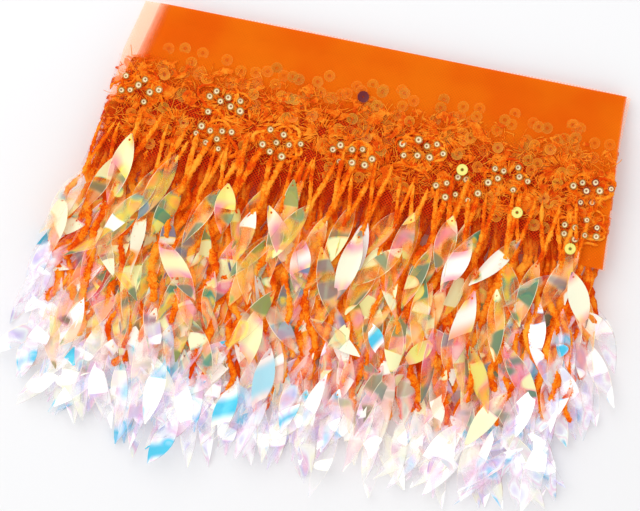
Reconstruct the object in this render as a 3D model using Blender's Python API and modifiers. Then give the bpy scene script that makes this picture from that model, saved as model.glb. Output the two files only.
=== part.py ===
"""Sequin tassel trim: a strip of net folded back and forth six times, with a worked band and
rows of tassels that fan out below it.

Metres, +Z up. X runs along the folded strip, +Y is its plain heading and -Y its fringe. The
origin is on the underside of the lowest worked band, where the folded trim lies flat on a
table.
"""

import math
import random
from collections import namedtuple

import bmesh
import bpy

# The strip and its folds
HEADING_LENGTH = 0.241  # from fold to fold along the heading edge
NET_DEPTH = 0.0875  # from the heading edge to the net's lower edge
HEADING_EDGE_Y = 0.048
LAYERS = 6
CLOTH = 0.0010  # thickness of the net, of the worked band and of a tassel row's heading
PITCH = 0.00135  # height of one level of the stack: a cloth and the gap above it
INNER_TURN = 0.0016  # how far a fold's inner cloth bulges past the fold's place
COLUMNS_PER_RUN = 8
STEPS_PER_TURN = 5

# Where the layers lie close, in the heading, and where they rise over the worked band
HEADING_PITCH = 0.0016
RISE_START = 0.008
RISE_END = 0.0258
RISE_ROWS = 3
NET_ROWS_BELOW = (0.056, NET_DEPTH)

# The worked band
BAND_TOP = 0.0295
BAND_BOTTOM = 0.0680
BAND_COLUMNS_PER_RUN = 12
BAND_ROWS = 3
BAND_SCALLOP = 0.0022
BAND_REPEAT = 0.034
BAND_RIPPLE = 0.069  # length of a second, lower wave along the band's upper edge
BAND_RIPPLE_SHARE = 0.6

# The slow rise and fall of the whole stack along X, as a share of its height
SWELL = 0.04
SWELL_LENGTH = 0.27
SWELL_START = 0.7

# Levels of the stack from the table up. The strip turns face down and face up by turns, so two
# worked faces meet, then two plain backs.
NET_LEVELS = (1, 2, 5, 6, 9, 10)
FACE_LEVELS = (0, 3, 4, 7, 8, 11)

# One row for each end of a run, in the order of the strip: its place along X at the heading
# edge, and how far it moves along X for each metre towards the fringe, above and below the
# depth where the net has risen to its own level.
RunEnd = namedtuple("RunEnd", "place flare lower_flare")
RUN_ENDS = (
    RunEnd(place=0.2413, flare=-0.020, lower_flare=0.075),  # cut end at the right, lowest layer
    RunEnd(place=-0.0062, flare=-0.235, lower_flare=-0.090),  # left fold
    RunEnd(place=0.2352, flare=0.020, lower_flare=0.060),  # right fold
    RunEnd(place=0.0022, flare=-0.220, lower_flare=-0.260),  # left fold
    RunEnd(place=0.2350, flare=0.030, lower_flare=0.075),  # right fold
    RunEnd(place=0.0016, flare=-0.210, lower_flare=-0.280),  # left fold
    RunEnd(place=0.2385, flare=0.020, lower_flare=0.070),  # cut end at the right, top layer
)

# The tassel rows: one for each layer, sewn on below the worked band
LOCKS_PER_ROW = 30
ROW_TOP = 0.0695
ROW_BOTTOM = 0.0735
ROW_MARGIN = 0.0045  # from a fold to the end of a tassel row's heading
FREE_DEPTH = 0.0900  # a lock keeps its level under the net down to here
SPLIT_DEPTH = 0.1040  # and has reached its own level here
TIP_DEPTH = 0.2250
TIP_PITCH = 0.0010
TIP_CLOTH = 0.0007
LEFT_SHORTER = 0.034
RIGHT_SHORTER = 0.050
SHORT_SHARE = 0.13  # the share of a row at each end where the locks get shorter
LEAN_POWER = 1.35
WOBBLE = 0.0012
TIP_UNEVEN = (-0.006, 0.004)  # how much deeper each lock's tip may come, and how much less
SEED = 40

# One row for each layer's tassels: how far the tips lean out at the row's left and right ends,
# the size, length and start of the sideways wave that its locks share, and how much longer
# than the others they are.
TasselRow = namedtuple("TasselRow", "left_lean right_lean wave wave_length wave_start longer")
TASSEL_ROWS = (
    TasselRow(0.026, 0.033, 0.0040, 0.130, 0.3, -0.002),
    TasselRow(0.034, 0.022, 0.0045, 0.105, 2.4, 0.003),
    TasselRow(0.024, 0.028, 0.0038, 0.150, 4.0, -0.004),
    TasselRow(0.030, 0.014, 0.0050, 0.120, 5.3, 0.002),
    TasselRow(0.032, 0.018, 0.0042, 0.100, 1.2, 0.000),
    TasselRow(0.024, 0.008, 0.0046, 0.115, 3.1, -0.003),
)

# Cross-sections down a lock: how far along its free length, half its width, and how far it
# stands to one side. A yarn lock is a plain strand.
Section = namedtuple("Section", "along half_width aside")
YARN_SECTIONS = (
    Section(0.11, 0.0014, 0.0),
    Section(0.33, 0.0016, 0.0012),
    Section(0.56, 0.0013, -0.0010),
    Section(0.79, 0.0015, 0.0008),
    Section(1.00, 0.0006, 0.0),
)
# A leaf lock widens to each of its leaves in turn: where the leaf starts and ends along the
# free length, half its width, and how far it stands to one side.
Leaf = namedtuple("Leaf", "start end half_width aside")
LEAVES = (
    Leaf(0.03, 0.33, 0.0046, 0.0015),
    Leaf(0.33, 0.65, 0.0050, -0.0015),
    Leaf(0.65, 1.00, 0.0047, 0.0013),
)
# A leaf's outline: how far down the leaf, and what share of its half width.
LEAF_OUTLINE = ((0.28, 0.86), (0.62, 0.95), (1.00, 0.14))
STALK_HALF_WIDTH = 0.0010

NET_ORANGE = (0.87, 0.16, 0.01, 1.0)
BAND_ORANGE = (0.90, 0.22, 0.01, 1.0)
TASSEL_COLOUR = (0.92, 0.42, 0.16, 1.0)


def mix(a, b, share):
    return a + (b - a) * share


def eased(share):
    share = min(1.0, max(0.0, share))
    return share * share * (3 - 2 * share)


def end_x(end, depth):
    """Where a run's end lies along X at this depth below the heading edge."""
    ends = RUN_ENDS[end]
    below = max(0.0, depth - RISE_END)
    return ends.place + ends.flare * (depth - below) + ends.lower_flare * below


def swell(x):
    return 1 + SWELL * math.sin(math.tau * x / SWELL_LENGTH + SWELL_START)


def placed(x, depth, underside, above=0.0):
    """A point of the part; underside is its cloth's lower face in the flat stack."""
    return (x - HEADING_LENGTH / 2, HEADING_EDGE_Y - depth, underside * swell(x) + above)


def net_underside(layer, depth):
    """The net lies close in the heading, and rises to its own level over the worked band."""
    rise = eased((depth - RISE_START) / (RISE_END - RISE_START))
    return mix(layer * HEADING_PITCH, NET_LEVELS[layer] * PITCH, rise)


def band_underside(layer, depth):
    return FACE_LEVELS[layer] * PITCH


def stations(columns_per_run):
    """Stations along the unfolded strip: a layer and share of its run, or a fold and angle."""
    found = []
    for layer in range(LAYERS):
        for column in range(columns_per_run + 1):
            found.append(("run", layer, column / columns_per_run))
        if layer < LAYERS - 1:
            for step in range(1, STEPS_PER_TURN):
                found.append(("turn", layer + 1, math.pi * (step / STEPS_PER_TURN - 0.5)))
    return found


def strip_point(station, depth, underside, outside_at_left):
    """A point on the middle of a folded cloth."""
    kind, index, share = station
    if kind == "run":
        x = mix(end_x(index, depth), end_x(index + 1, depth), share)
        return placed(x, depth, underside(index, depth), CLOTH / 2)
    at_left = index % 2 == 1
    bulge = INNER_TURN + (PITCH if at_left == outside_at_left else 0)
    low, high = underside(index - 1, depth), underside(index, depth)
    x = end_x(index, depth) - (bulge if at_left else -bulge) * math.cos(share)
    return placed(x, depth, mix(low, high, (math.sin(share) + 1) / 2), CLOTH / 2)


def new_object(name, mesh, colour, collection):
    data = bpy.data.meshes.new(name)
    mesh.to_mesh(data)
    mesh.free()
    material = bpy.data.materials.new(name)
    material.use_nodes = True
    shader = material.node_tree.nodes["Principled BSDF"]
    shader.inputs["Base Color"].default_value = colour
    shader.inputs["Roughness"].default_value = 0.75
    shader.inputs["Metallic"].default_value = 0.0
    data.materials.append(material)
    made = bpy.data.objects.new(name, data)
    collection.objects.link(made)
    return made


def folded_cloth(name, columns_per_run, rows, point, colour, collection):
    """A grid bent along the folds, then given its thickness."""
    along = stations(columns_per_run)
    mesh = bmesh.new()
    bmesh.ops.create_grid(mesh, x_segments=len(along) - 1, y_segments=rows, size=0.5)
    for vert in mesh.verts:
        column = round((vert.co.x + 0.5) * (len(along) - 1))
        row = round((0.5 - vert.co.y) * rows)
        vert.co = point(along[column], row)
    cloth = new_object(name, mesh, colour, collection)
    thickness = cloth.modifiers.new("thickness", "SOLIDIFY")
    thickness.thickness = CLOTH
    thickness.offset = 0
    thickness.use_even_offset = True
    return cloth


def net(collection):
    rise = [RISE_START + (RISE_END - RISE_START) * i / RISE_ROWS for i in range(RISE_ROWS + 1)]
    depths = [0.0, *rise, *NET_ROWS_BELOW]

    def point(station, row):
        return strip_point(station, depths[row], net_underside, outside_at_left=False)

    return folded_cloth("net", COLUMNS_PER_RUN, len(depths) - 1, point, NET_ORANGE, collection)


def worked_band(collection):
    """The yarn-worked band lies on the net's face, with an uneven scalloped upper edge."""

    def point(station, row):
        kind, index, share = station
        along = HEADING_LENGTH * (index + share if kind == "run" else index)
        scallop = math.sin(math.tau * along / BAND_REPEAT)
        scallop += BAND_RIPPLE_SHARE * math.sin(math.tau * along / BAND_RIPPLE)
        top = BAND_TOP + BAND_SCALLOP * scallop
        depth = mix(top, BAND_BOTTOM, row / BAND_ROWS)
        return strip_point(station, depth, band_underside, outside_at_left=True)

    return folded_cloth(
        "worked_band", BAND_COLUMNS_PER_RUN, BAND_ROWS, point, BAND_ORANGE, collection
    )


def across_row(layer, share, depth):
    """A place along X in a layer's tassel row, counted from its left end."""
    ends = sorted((end_x(layer, depth), end_x(layer + 1, depth)))
    return mix(ends[0] + ROW_MARGIN, ends[1] - ROW_MARGIN, share)


def tip_depth(layer, share, chance):
    """Locks are shorter towards both ends of a row."""
    left = max(0.0, 1 - share / SHORT_SHARE) ** 2
    right = max(0.0, 1 - (1 - share) / SHORT_SHARE) ** 2
    shorter = LEFT_SHORTER * left + RIGHT_SHORTER * right
    return TIP_DEPTH + TASSEL_ROWS[layer].longer - shorter + chance.uniform(*TIP_UNEVEN)


def lock_x(layer, share, depth):
    """The shared flow of a row's locks: they fan out at both ends and wave together."""
    row = TASSEL_ROWS[layer]
    x = across_row(layer, share, min(depth, FREE_DEPTH))
    fallen = max(0.0, depth - FREE_DEPTH)
    lean = row.right_lean * share**4 - row.left_lean * (1 - share) ** 2
    x += lean * (fallen / (TIP_DEPTH - FREE_DEPTH)) ** LEAN_POWER
    start = row.wave_start + share
    turn = math.tau * fallen / row.wave_length
    return x + row.wave * (math.sin(start + turn) - math.sin(start))


def lock_level(layer, is_leaf, depth):
    """Past the net a row's leaf locks lie one level above its yarn locks."""
    face = FACE_LEVELS[layer]
    own = 2 * layer + (1 if is_leaf else 0)
    return mix(face, own, min(1.0, max(0.0, (depth - FREE_DEPTH) / (SPLIT_DEPTH - FREE_DEPTH))))


def leaf_sections():
    found = []
    for leaf in LEAVES:
        for down, width in LEAF_OUTLINE:
            along = mix(leaf.start, leaf.end, down)
            found.append(Section(along, leaf.half_width * width, leaf.aside * width))
    return found


def lock_sections(layer, share, is_leaf, chance):
    """Each cross-section of one lock: its X, depth, half width, underside and thickness."""
    tip = tip_depth(layer, share, chance)
    length = tip - FREE_DEPTH
    found = [(lock_x(layer, share, FREE_DEPTH), FREE_DEPTH, STALK_HALF_WIDTH)]
    for section in leaf_sections() if is_leaf else YARN_SECTIONS:
        depth = FREE_DEPTH + length * section.along
        x = lock_x(layer, share, depth) + section.aside + chance.uniform(-WOBBLE, WOBBLE)
        found.append((x, depth, section.half_width))
    shaped = []
    for x, depth, half_width in found:
        fall = max(0.0, (depth - FREE_DEPTH) / (TIP_DEPTH - FREE_DEPTH))
        pitch = mix(PITCH, TIP_PITCH, fall)
        thickness = mix(CLOTH, TIP_CLOTH, fall)
        shaped.append((x, depth, half_width, lock_level(layer, is_leaf, depth) * pitch, thickness))
    return shaped


def grow_lock(mesh, root, sections):
    """Pulls a lock out of one face of the row's heading, a cross-section at a time."""
    face = root
    for x, depth, half_width, underside, thickness in sections:
        middle = face.calc_center_median()
        pulled = bmesh.ops.extrude_discrete_faces(mesh, faces=[face])
        face = pulled["faces"][0]
        for vert in face.verts:
            side = half_width if vert.co.x > middle.x else -half_width
            above = thickness if vert.co.z > middle.z else 0.0
            vert.co = placed(x + side, depth, underside, above)
            vert.co.z += underside * (swell(x) - swell(x + side))


def tassel_row(layer, collection):
    """A narrow heading with thirty locks pulled out of its lower edge, all one solid."""
    chance = random.Random(SEED + layer)
    mesh = bmesh.new()
    bmesh.ops.create_grid(mesh, x_segments=LOCKS_PER_ROW, y_segments=1, size=0.5)
    raised = bmesh.ops.extrude_face_region(mesh, geom=mesh.faces[:])
    for item in raised["geom"]:
        if isinstance(item, bmesh.types.BMVert):
            item.co.z = 1.0
    bmesh.ops.recalc_face_normals(mesh, faces=mesh.faces)
    roots = [face for face in mesh.faces if face.normal.y < -0.9]
    roots.sort(key=lambda face: face.calc_center_median().x)
    for vert in mesh.verts:
        depth = ROW_TOP if vert.co.y > 0 else ROW_BOTTOM
        x = across_row(layer, vert.co.x + 0.5, depth)
        above = CLOTH if vert.co.z > 0.5 else 0.0
        vert.co = placed(x, depth, FACE_LEVELS[layer] * PITCH, above)
    for index, root in enumerate(roots):
        share = (index + 0.5) / LOCKS_PER_ROW
        is_leaf = (index + layer) % 2 == 1
        grow_lock(mesh, root, lock_sections(layer, share, is_leaf, chance))
    return new_object(f"tassel_row_{layer + 1}", mesh, TASSEL_COLOUR, collection)


def main():
    for old in list(bpy.data.objects):
        bpy.data.objects.remove(old, do_unlink=True)
    collection = bpy.data.collections.new("sequin_tassel_trim")
    bpy.context.scene.collection.children.link(collection)
    net(collection)
    worked_band(collection)
    for layer in range(LAYERS):
        tassel_row(layer, collection)


main()
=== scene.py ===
import math

import bpy
import numpy as np
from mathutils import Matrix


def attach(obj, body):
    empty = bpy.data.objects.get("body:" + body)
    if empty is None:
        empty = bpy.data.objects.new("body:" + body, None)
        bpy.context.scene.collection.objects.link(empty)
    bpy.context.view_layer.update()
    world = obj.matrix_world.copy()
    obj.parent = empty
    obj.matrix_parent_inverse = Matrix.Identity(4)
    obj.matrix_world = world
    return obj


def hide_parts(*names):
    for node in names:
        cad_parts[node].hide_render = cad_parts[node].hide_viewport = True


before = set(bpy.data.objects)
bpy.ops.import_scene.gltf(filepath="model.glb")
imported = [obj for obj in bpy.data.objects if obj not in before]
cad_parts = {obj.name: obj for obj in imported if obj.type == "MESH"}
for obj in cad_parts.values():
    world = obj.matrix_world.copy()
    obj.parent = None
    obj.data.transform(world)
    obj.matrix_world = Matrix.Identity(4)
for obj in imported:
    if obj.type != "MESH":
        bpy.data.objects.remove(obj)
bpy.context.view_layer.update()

millimetre = 0.001
tableGap = 0.0001  # no small part lies lower than this
print("frame loaded:", sorted(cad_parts))

# How the strip is folded, the same sizes as its solids, in metres
trim = {
    "headingLength": 0.241,
    "netDepth": 0.0875,
    "headingEdge": 0.048,
    "layers": 6,
    "cloth": 0.0010,
    "pitch": 0.00135,
    "innerTurn": 0.0016,
    "headingPitch": 0.0016,
    "turnLength": 0.005,
    "riseStart": 0.008,
    "riseEnd": 0.0258,
    "bandTop": 0.0275,
    "bandBottom": 0.0690,
    "swell": 0.04,
    "swellLength": 0.27,
    "netLevels": (1, 2, 5, 6, 9, 10),
    "faceLevels": (0, 3, 4, 7, 8, 11),
}
topLayer = trim["layers"] - 1

# Where each end of a run lies at the heading edge, and how it flares above and below the rise
runEnds = (
    (0.2413, -0.020, 0.075),  # cut end at the right, lowest layer
    (-0.0062, -0.235, -0.090),
    (0.2352, 0.020, 0.060),
    (0.0022, -0.220, -0.260),
    (0.2350, 0.030, 0.075),
    (0.0016, -0.210, -0.280),
    (0.2385, 0.020, 0.070),  # cut end at the right, top layer
)

# The fringe, row by row from the table up: left lean, right lean, wave, wave length, start
fringe = {
    "rowMargin": 0.0045,
    "freeDepth": 0.0900,
    "splitDepth": 0.1040,
    "tipDepth": 0.2250,
    "tipPitch": 0.0010,
    "leanPower": 1.35,
    "leftShorter": 0.034,
    "rightShorter": 0.050,
    "shortShare": 0.13,
    "rows": (
        (0.026, 0.033, 0.0040, 0.130, 0.3),
        (0.034, 0.022, 0.0045, 0.105, 2.4),
        (0.024, 0.028, 0.0038, 0.150, 4.0),
        (0.030, 0.014, 0.0050, 0.120, 5.3),
        (0.032, 0.018, 0.0042, 0.100, 1.2),
        (0.024, 0.008, 0.0046, 0.115, 3.1),
    ),
}


def mix(a, b, share):
    return a + (b - a) * share


def eased(share):
    share = np.clip(share, 0.0, 1.0)
    return share * share * (3 - 2 * share)


def rising(value, low, high):  # smoothly from 0 at low to 1 at high
    return eased((value - low) / (high - low))


def endX(end, depth):
    place, flare, lowerFlare = runEnds[end]
    below = np.maximum(0.0, depth - trim["riseEnd"])
    return place + flare * (depth - below) + lowerFlare * below


def swell(x):
    return 1 + trim["swell"] * np.sin(math.tau * x / trim["swellLength"] + 0.7)


def netMiddle(layer, depth):  # height of the middle of a net layer
    rise = rising(depth, trim["riseStart"], trim["riseEnd"])
    low = mix(layer * trim["headingPitch"], trim["netLevels"][layer] * trim["pitch"], rise)
    return low + trim["cloth"] / 2


def bandMiddle(layer, depth):
    return trim["faceLevels"][layer] * trim["pitch"] + trim["cloth"] / 2 + 0 * depth


def placed(x, depth, height):  # a point of the trim in the frame
    x, depth, height = np.broadcast_arrays(x, depth, height)
    half = trim["cloth"] / 2
    lifted = (height - half) * swell(x) + half
    return np.stack([x - trim["headingLength"] / 2, trim["headingEdge"] - depth, lifted], axis=-1)


def ripple(x, y, seed, longest=0.09):  # soft uneven waves, from about -1 to 1
    chance = np.random.default_rng(seed)
    total = 0
    for share in (1.0, 0.61, 0.37, 0.23):
        angle, phase = chance.uniform(0, math.tau, 2)
        across = x * math.cos(angle) + y * math.sin(angle)
        total = total + share * np.sin(math.tau * across / (longest * share) + phase)
    return total / 1.8


def acrossRow(layer, share, depth):
    a, b = endX(layer, depth), endX(layer + 1, depth)
    left = np.minimum(a, b) + fringe["rowMargin"]
    right = np.maximum(a, b) - fringe["rowMargin"]
    return mix(left, right, share)


def flowX(layer, share, depth):  # the line that a row's strands follow, as in the solids
    leftLean, rightLean, wave, waveLength, start = fringe["rows"][layer]
    x = acrossRow(layer, share, np.minimum(depth, fringe["freeDepth"]))
    fallen = np.maximum(0.0, depth - fringe["freeDepth"])
    lean = rightLean * share**4 - leftLean * (1 - share) ** 2
    x = x + lean * (fallen / (fringe["tipDepth"] - fringe["freeDepth"])) ** fringe["leanPower"]
    turn = math.tau * fallen / waveLength
    return x + wave * (np.sin(start + share + turn) - np.sin(start + share))


def rowPitch(depth):
    fall = (depth - fringe["freeDepth"]) / (fringe["tipDepth"] - fringe["freeDepth"])
    return mix(trim["pitch"], fringe["tipPitch"], np.clip(fall, 0, 1.1))


def rowFloor(layer, depth):  # the lowest height of a row of the fringe
    free = (depth - fringe["freeDepth"]) / (fringe["splitDepth"] - fringe["freeDepth"])
    level = mix(trim["faceLevels"][layer], 2 * layer, np.clip(free, 0, 1))
    return level * rowPitch(depth)


def shorter(share):
    left = max(0.0, 1 - share / fringe["shortShare"]) ** 2
    right = max(0.0, 1 - (1 - share) / fringe["shortShare"]) ** 2
    return fringe["leftShorter"] * left + fringe["rightShorter"] * right


# Meshes

def addObject(name, data):
    made = bpy.data.objects.new(name, data)
    bpy.context.scene.collection.objects.link(made)
    return made


def addPiece(name, points, faces, material, uv, seeds=None):
    mesh = bpy.data.meshes.new(name)
    mesh.vertices.add(points.size // 3)
    mesh.vertices.foreach_set("co", points.astype(np.float32).ravel())
    mesh.loops.add(faces.size)
    mesh.loops.foreach_set("vertex_index", faces.astype(np.int32).ravel())
    mesh.polygons.add(len(faces))
    mesh.polygons.foreach_set("loop_start", np.arange(0, faces.size, faces.shape[1], dtype=np.int32))
    corners = uv.reshape(-1, 2)[faces.ravel()]
    mesh.uv_layers.new(name="surface").data.foreach_set("uv", corners.astype(np.float32).ravel())
    if seeds is not None:
        kept = mesh.attributes.new("seeds", "FLOAT_COLOR", "POINT")
        kept.data.foreach_set("color", seeds.astype(np.float32).ravel())
    mesh.update(calc_edges=True)
    mesh.validate()
    mesh.shade_smooth()
    mesh.materials.append(material)
    piece = addObject(name, mesh)
    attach(piece, "root")
    return piece


class Pile:  # collects many small meshes into one
    def __init__(self):
        self.parts, self.count = [], 0

    def add(self, points, faces, uv, seeds):
        points[:, 2] = np.maximum(points[:, 2], tableGap)
        seeds = np.broadcast_to(np.asarray(seeds, float), (len(points), 4))
        self.parts.append((points, faces + self.count, uv, seeds))
        self.count += len(points)

    def piece(self, name, material):
        points, faces, uv, seeds = (np.concatenate(column) for column in zip(*self.parts))
        print(name, "has", 2 * len(faces), "triangles")
        return addPiece(name, points, faces, material, uv, seeds)


def gridFaces(rows, columns, closed=False):  # quads between rows of points
    wrap = columns if closed else columns - 1
    row, column = np.meshgrid(np.arange(rows - 1), np.arange(wrap), indexing="ij")
    a = row * columns + column
    b = row * columns + (column + 1) % columns
    return np.stack([a, b, b + columns, a + columns], axis=-1).reshape(-1, 4)


def tube(path, radius, sides, fuzz, chance, flatten=1.0):  # a closed strand along a path
    ahead = np.gradient(path, axis=0)
    ahead /= np.linalg.norm(ahead, axis=1)[:, None] + 1e-12
    side = np.cross(ahead, (0.0, 0.0, 1.0))
    side /= np.linalg.norm(side, axis=1)[:, None] + 1e-12
    up = np.cross(side, ahead) * flatten
    angle = np.arange(sides) * math.tau / sides
    reach = radius[:, None] * (1 + fuzz * chance.uniform(-1, 1, (len(path), sides)))
    ring = np.cos(angle)[None, :, None] * side[:, None] + np.sin(angle)[None, :, None] * up[:, None]
    points = (path[:, None] + reach[..., None] * ring).reshape(-1, 3)
    faces = gridFaces(len(path), sides, closed=True)
    caps = []
    for j in range(sides // 2 - 1):
        cap = np.array([j, j + 1, sides - 2 - j, sides - 1 - j])
        caps += [cap[::-1], cap + (len(path) - 1) * sides]
    along = np.repeat(np.linspace(0, 1, len(path)), sides)
    around = np.tile(np.arange(sides) / sides, len(path))
    return points, np.concatenate([faces, caps]), np.stack([around, along], axis=-1)


# Materials

def addNode(tree, kind, links=(), **settings):
    node = tree.nodes.new(kind)
    for key, value in settings.items():
        setattr(node, key, value)
    for name, source in links:
        target = node.inputs[name]
        if isinstance(source, bpy.types.NodeSocket):
            tree.links.new(source, target)
        else:
            target.default_value = source
    return node


def addMath(tree, operation, a, b=None, c=None, clamp=False):
    given = [(i, value) for i, value in enumerate((a, b, c)) if value is not None]
    return addNode(tree, "ShaderNodeMath", given, operation=operation, use_clamp=clamp).outputs[0]


def addRamp(tree, source, stops):
    node = addNode(tree, "ShaderNodeValToRGB", [("Fac", source)])
    ramp = node.color_ramp
    while len(ramp.elements) > 1:
        ramp.elements.remove(ramp.elements[-1])
    for i, (position, colour) in enumerate(stops):
        element = ramp.elements[0] if i == 0 else ramp.elements.new(position)
        element.position = position
        element.color = (*colour, 1.0)
    return node.outputs["Color"]


def addMixColour(tree, share, a, b):
    a, b = (c if isinstance(c, bpy.types.NodeSocket) else (*c, 1.0) for c in (a, b))
    return addNode(tree, "ShaderNodeMix", [(0, share), (6, a), (7, b)], data_type="RGBA").outputs[2]


def addMixValue(tree, share, a, b):
    return addNode(tree, "ShaderNodeMix", [(0, share), (2, a), (3, b)], data_type="FLOAT").outputs[0]


def addRange(tree, source, low, high, toLow=0.0, toHigh=1.0):
    links = [("Value", source), ("From Min", low), ("From Max", high)]
    links += [("To Min", toLow), ("To Max", toHigh)]
    node = addNode(tree, "ShaderNodeMapRange", links, interpolation_type="SMOOTHSTEP")
    return node.outputs["Result"]


def addNoise(tree, vector, scale, detail, **more):
    links = [("Vector", vector), ("Scale", scale), ("Detail", detail), *more.items()]
    return addNode(tree, "ShaderNodeTexNoise", links).outputs["Fac"]


def addBump(tree, height, distance, strength):
    links = [("Height", height), ("Distance", distance), ("Strength", strength)]
    return addNode(tree, "ShaderNodeBump", links).outputs["Normal"]


def readPlace(tree):
    return addNode(tree, "ShaderNodeTexCoord").outputs["Object"]


def readUv(tree):
    return addNode(tree, "ShaderNodeUVMap", uv_map="surface").outputs["UV"]


def splitUv(tree):
    return addNode(tree, "ShaderNodeSeparateXYZ", [("Vector", readUv(tree))]).outputs[:2]


def readSeeds(tree):  # the four values that each small part carries
    seeds = addNode(tree, "ShaderNodeAttribute", attribute_name="seeds", attribute_type="GEOMETRY")
    parts = addNode(tree, "ShaderNodeSeparateColor", [("Color", seeds.outputs["Color"])])
    return *parts.outputs, seeds.outputs["Alpha"]


def newMaterial(name, **values):
    material = bpy.data.materials.new(name)
    material.use_nodes = True
    tree = material.node_tree
    shader = tree.nodes["Principled BSDF"]
    for key, value in values.items():
        shader.inputs[key.replace("_", " ")].default_value = value
    return material, tree, shader


def plug(tree, shader, **sources):
    for key, source in sources.items():
        tree.links.new(source, shader.inputs[key.replace("_", " ")])


def newGroup(name, inputs, outputs):  # an input without a value is a vector, the rest are numbers
    group = bpy.data.node_groups.new(name, "ShaderNodeTree")
    for label, value in inputs.items():
        kind = "NodeSocketVector" if value is None else "NodeSocketFloat"
        socket = group.interface.new_socket(name=label, in_out="INPUT", socket_type=kind)
        if value is not None:
            socket.default_value = value
    for label in outputs:
        group.interface.new_socket(name=label, in_out="OUTPUT", socket_type="NodeSocketFloat")
    return group, group.nodes.new("NodeGroupInput"), group.nodes.new("NodeGroupOutput")


def makeFibreGroup():  # fluffy yarn: a fine tone and a height for the bump
    inputs = {"Vector": None, "Scale": 900.0}
    group, given, result = newGroup("fibreGrain", inputs, ("Tone", "Height"))
    vector, scale = given.outputs["Vector"], given.outputs["Scale"]
    fine = addNoise(group, vector, scale, 3.0, Roughness=0.65, Distortion=1.2)
    coarse = addNoise(group, vector, addMath(group, "MULTIPLY", scale, 0.13), 2.0)
    both = addMath(group, "MULTIPLY_ADD", coarse, 0.6, addMath(group, "MULTIPLY", fine, 0.6))
    group.links.new(addRange(group, both, 0.46, 0.76), result.inputs["Tone"])
    group.links.new(fine, result.inputs["Height"])
    return group


def makeNetGroup():  # two slanting sets of threads, a mask that is 1 on a thread
    inputs = {"Vector": None, "Pitch": 0.001, "Thread": 0.25}
    group, given, result = newGroup("netMesh", inputs, ["Threads"])
    split = addNode(group, "ShaderNodeSeparateXYZ", [("Vector", given.outputs["Vector"])])
    half = addMath(group, "MULTIPLY", given.outputs["Thread"], 0.5)
    masks = []
    for sign in ("ADD", "SUBTRACT"):
        slant = addMath(group, sign, split.outputs["X"], split.outputs["Y"])
        turn = addMath(group, "FRACT", addMath(group, "DIVIDE", slant, given.outputs["Pitch"]))
        off = addMath(group, "ABSOLUTE", addMath(group, "SUBTRACT", turn, 0.5))
        masks.append(addRange(group, off, addMath(group, "ADD", half, 0.06), half))
    group.links.new(addMath(group, "MAXIMUM", *masks), result.inputs["Threads"])
    return group


fibreGroup = makeFibreGroup()
netGroup = makeNetGroup()

netFinish = {
    "colour": (0.80, 0.110, 0.001),
    "paleColour": (0.84, 0.160, 0.002),
    # painted shade: the net over the fringe is coloured darker and redder, for the shade among the
    # layers below
    "shadedColour": (0.30, 0.004, 0.003),
    "shadedThread": (0.78, 0.055, 0.003),
    "thinColour": (0.96, 0.33, 0.07),
    "pitch": 0.0016,
    "thread": 0.26,
    "holeAlpha": 0.78,
    "threadAlpha": 0.88,
    "thinHole": 0.05,
    "thinThread": 0.34,
    # painted glow: the single layer of net gives off light, for the light that passes through it
    "thinPaintedGlow": 0.70,
    "foldAlpha": 0.25,
    "foldWidth": 0.004,
    "thinPaintedGlowColour": (0.90, 0.52, 0.34),
}


def makeNetMaterial():  # seeds: red where the net lies single and glows with painted light, green over the fringe where it is painted in shade, blue solid
    material, tree, shader = newMaterial(
        "orange net", Roughness=0.75, IOR=1.45, Specular_IOR_Level=0.05,
        Emission_Strength=netFinish["thinPaintedGlow"],
    )
    thin, over, solid, _ = readSeeds(tree)
    threads = addNode(tree, "ShaderNodeGroup", [
        ("Vector", readUv(tree)), ("Pitch", netFinish["pitch"]), ("Thread", netFinish["thread"]),
    ], node_tree=netGroup).outputs["Threads"]
    tone = addRange(tree, addNoise(tree, readPlace(tree), 26.0, 2.0), 0.3, 0.7)
    plain = addMixColour(tree, tone, netFinish["colour"], netFinish["paleColour"])
    # painted shade on the net over the fringe
    deep = addMixColour(tree, threads, netFinish["shadedColour"], netFinish["shadedThread"])
    lying = addMixColour(tree, over, plain, deep)
    dense = addMixValue(tree, threads, netFinish["holeAlpha"], netFinish["threadAlpha"])
    single = addMixValue(tree, threads, netFinish["thinHole"], netFinish["thinThread"])
    plug(
        tree, shader,
        Base_Color=addMixColour(tree, thin, lying, netFinish["thinColour"]),
        # painted glow on the single layer of net
        Emission_Color=addMixColour(tree, thin, (0.0, 0.0, 0.0), netFinish["thinPaintedGlowColour"]),
        Alpha=addMath(tree, "MULTIPLY", addMixValue(tree, thin, dense, single), solid),
        Normal=addBump(tree, threads, 0.0002, 0.12),
    )
    return material


yarnFinish = {
    "light": (0.94, 0.37, 0.03),
    "body": (0.90, 0.180, 0.002),
    "deep": (0.68, 0.048, 0.001),
    # painted glow: the yarn gives off light in its own colour, for light scattered through its fibres
    "paintedGlow": 0.12,
}


def makeYarnMaterial(name, scale):
    material, tree, shader = newMaterial(
        name, Roughness=0.85, Specular_IOR_Level=0.05, Emission_Strength=yarnFinish["paintedGlow"],
        Sheen_Weight=0.08, Sheen_Roughness=0.4, Sheen_Tint=(1.0, 0.62, 0.30, 1.0),
    )
    links = [("Vector", readPlace(tree)), ("Scale", scale)]
    grain = addNode(tree, "ShaderNodeGroup", links, node_tree=fibreGroup)
    own = addRange(tree, readSeeds(tree)[0], 0, 1, -0.24, 0.24)
    stops = ((0.0, yarnFinish["deep"]), (0.45, yarnFinish["body"]), (1.0, yarnFinish["light"]))
    colour = addRamp(tree, addMath(tree, "ADD", grain.outputs["Tone"], own), stops)
    # the emission is painted glow in the yarn's own colour
    plug(tree, shader, Base_Color=colour, Emission_Color=colour,
         Normal=addBump(tree, grain.outputs["Height"], 0.0004, 0.8))
    return material


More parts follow.
